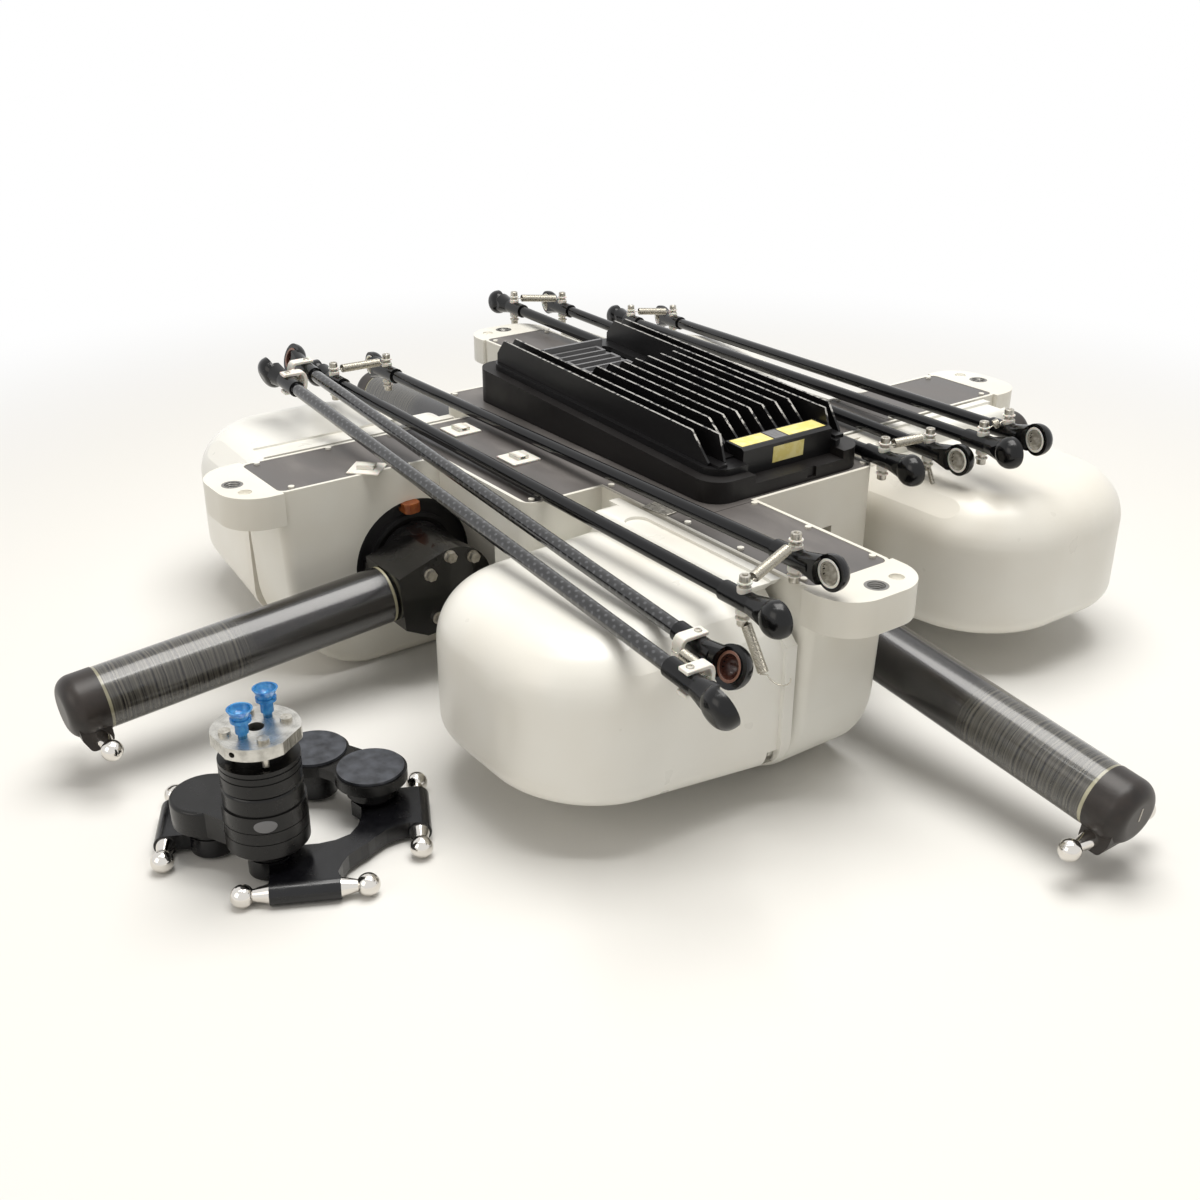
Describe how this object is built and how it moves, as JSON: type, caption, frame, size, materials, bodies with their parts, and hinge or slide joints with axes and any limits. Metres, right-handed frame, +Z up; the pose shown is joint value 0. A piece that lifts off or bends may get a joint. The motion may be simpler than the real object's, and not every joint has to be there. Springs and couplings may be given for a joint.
{
  "type": "delta robot",
  "caption": "Delta robot laid out for storage: white base with rounded motor covers and finned amplifier, carbon arms, sprung carbon rods on its deck and a geared travelling plate beside it.",
  "frame": {"origin": "centre of the base's underside, on the floor", "axes": "+Z up, along the axis of the square of mounting holes; +X along the front arm, +Y along the right arm"},
  "size_m": [1.3434, 1.3442, 0.2924],
  "materials": {
    "white_casting": "satin warm white powder coat on a cast aluminium body",
    "grey_panel": "grey powder coat with handling scuffs",
    "housing_screw": "zinc-plated button heads",
    "white_cover": "satin warm white moulding",
    "motor_black": "black paint",
    "gearbox_steel": "machined steel",
    "seal_black": "black stepped ring",
    "stop_amber": "orange-brown urethane",
    "insert_steel": "plain steel sleeve",
    "amplifier_black": "black satin paint",
    "heat_sink_black": "black anodised, bright worn fin edges",
    "connector_grey": "grey moulding",
    "hub_black": "gloss black enamel",
    "wound_carbon": "clear-coated wound carbon fibre",
    "cap_dark": "dark satin coat",
    "ball_chrome": "polished ball studs",
    "bolt_zinc": "zinc-plated hex heads",
    "rod_carbon": "clear-coated carbon fibre",
    "socket_black": "black moulding with pale liners",
    "spring_steel": "bright steel with white washers",
    "plate_black": "black hard anodised",
    "pin_steel": "ground steel",
    "link_black": "black anodised",
    "disc_grey": "dark grey pressed caps",
    "flange_black": "black anodised",
    "adapter_aluminium": "turned bright aluminium",
    "adapter_screw": "stainless button heads",
    "cup_blue": "blue translucent silicone"
  },
  "bodies": {
    "base": {"base_casting": "white_casting", "deck_panels": "grey_panel", "housing_screws": "housing_screw", "motor_cover_front": "white_cover", "motor_cover_right": "white_cover", "motor_cover_back": "white_cover", "motor_cover_left": "white_cover", "servo_motors": "motor_black", "gearboxes": "gearbox_steel", "hub_seals": "seal_black", "arm_stops": "stop_amber", "mounting_inserts": "insert_steel", "amplifier_base": "amplifier_black", "amplifier_heat_sink": "heat_sink_black", "amplifier_connectors": "connector_grey"},
    "arm_front": {"arm_front_hub": "hub_black", "arm_front_tube": "wound_carbon", "arm_front_cap": "cap_dark", "arm_front_ball_studs": "ball_chrome", "arm_front_bolts": "bolt_zinc"},
    "arm_right": {"arm_right_hub": "hub_black", "arm_right_tube": "wound_carbon", "arm_right_cap": "cap_dark", "arm_right_ball_studs": "ball_chrome", "arm_right_bolts": "bolt_zinc"},
    "arm_back": {"arm_back_hub": "hub_black", "arm_back_tube": "wound_carbon", "arm_back_cap": "cap_dark", "arm_back_ball_studs": "ball_chrome", "arm_back_bolts": "bolt_zinc"},
    "arm_left": {"arm_left_hub": "hub_black", "arm_left_tube": "wound_carbon", "arm_left_cap": "cap_dark", "arm_left_ball_studs": "ball_chrome", "arm_left_bolts": "bolt_zinc"},
    "rods_a": {"rods_a_tubes": "rod_carbon", "rods_a_sockets": "socket_black", "rods_a_springs": "spring_steel"},
    "rods_b": {"rods_b_tubes": "rod_carbon", "rods_b_sockets": "socket_black", "rods_b_springs": "spring_steel"},
    "rods_c": {"rods_c_tubes": "rod_carbon", "rods_c_sockets": "socket_black", "rods_c_springs": "spring_steel"},
    "rods_d": {"rods_d_tubes": "rod_carbon", "rods_d_sockets": "socket_black", "rods_d_springs": "spring_steel"},
    "plate_a": {"plate_half_a": "plate_black", "plate_studs_a": "ball_chrome", "plate_pins_a": "pin_steel"},
    "gear_link": {"gear_link": "link_black"},
    "cover_link": {"cover_link": "link_black", "link_disc_covers": "disc_grey"},
    "plate_b": {"plate_half_b": "plate_black", "plate_studs_b": "ball_chrome", "plate_pins_b": "pin_steel"},
    "tool": {"tool_flange": "flange_black", "adapter_plate": "adapter_aluminium", "adapter_screws": "adapter_screw", "suction_cups": "cup_blue"}
  },
  "joints": [
    {"name": "arm_front_swing", "type": "hinge", "parent": "base", "child": "arm_front", "pos_m": [0.275, 0, 0.1085], "axis": [0, 1, 0], "range_deg": [-58.9, 111.1]},
    {"name": "arm_right_swing", "type": "hinge", "parent": "base", "child": "arm_right", "pos_m": [0, 0.275, 0.1085], "axis": [-1, 0, 0], "range_deg": [-56, 114]},
    {"name": "arm_back_swing", "type": "hinge", "parent": "base", "child": "arm_back", "pos_m": [-0.275, 0, 0.1085], "axis": [0, -1, 0], "range_deg": [-54, 116]},
    {"name": "arm_left_swing", "type": "hinge", "parent": "base", "child": "arm_left", "pos_m": [0, -0.275, 0.1085], "axis": [1, 0, 0], "range_deg": [-56.5, 113.5]},
    {"name": "rods_a_lift", "type": "slide", "parent": "base", "child": "rods_a", "axis": [0, 0, 1], "range_m": [0, 0.3]},
    {"name": "rods_b_lift", "type": "slide", "parent": "base", "child": "rods_b", "axis": [0, 0, 1], "range_m": [0, 0.3]},
    {"name": "rods_c_lift", "type": "slide", "parent": "base", "child": "rods_c", "axis": [0, 0, 1], "range_m": [0, 0.3]},
    {"name": "rods_d_lift", "type": "slide", "parent": "base", "child": "rods_d", "axis": [0, 0, 1], "range_m": [0, 0.3]},
    {"name": "plate_lift", "type": "slide", "parent": "base", "child": "plate_a", "axis": [0, 0, 1], "range_m": [0, 0.3]},
    {"name": "gear_link_swing", "type": "hinge", "parent": "plate_a", "child": "gear_link", "pos_m": [0.23393, -0.57795, 0.046], "axis": [0, 0, 1], "range_deg": [-46.25, 46.25]},
    {"name": "cover_link_swing", "type": "hinge", "parent": "plate_a", "child": "cover_link", "pos_m": [0.20539, -0.46655, 0.04], "axis": [0, 0, 1], "range_deg": [-46.25, 46.25]},
    {"name": "plate_b_turn", "type": "hinge", "parent": "gear_link", "child": "plate_b", "pos_m": [0.175, -0.6055, 0.04], "axis": [0, 0, 1], "range_deg": [-46.25, 46.25]},
    {"name": "tool_turn", "type": "hinge", "parent": "gear_link", "child": "tool", "pos_m": [0.23393, -0.57795, 0.12], "axis": [0, 0, 1], "range_deg": [-185, 185]}
  ],
  "couplings": [
    {"joint": "cover_link_swing", "follows": "gear_link_swing", "ratio": 1},
    {"joint": "plate_b_turn", "follows": "gear_link_swing", "ratio": -1},
    {"joint": "tool_turn", "follows": "gear_link_swing", "ratio": 4}
  ]
}
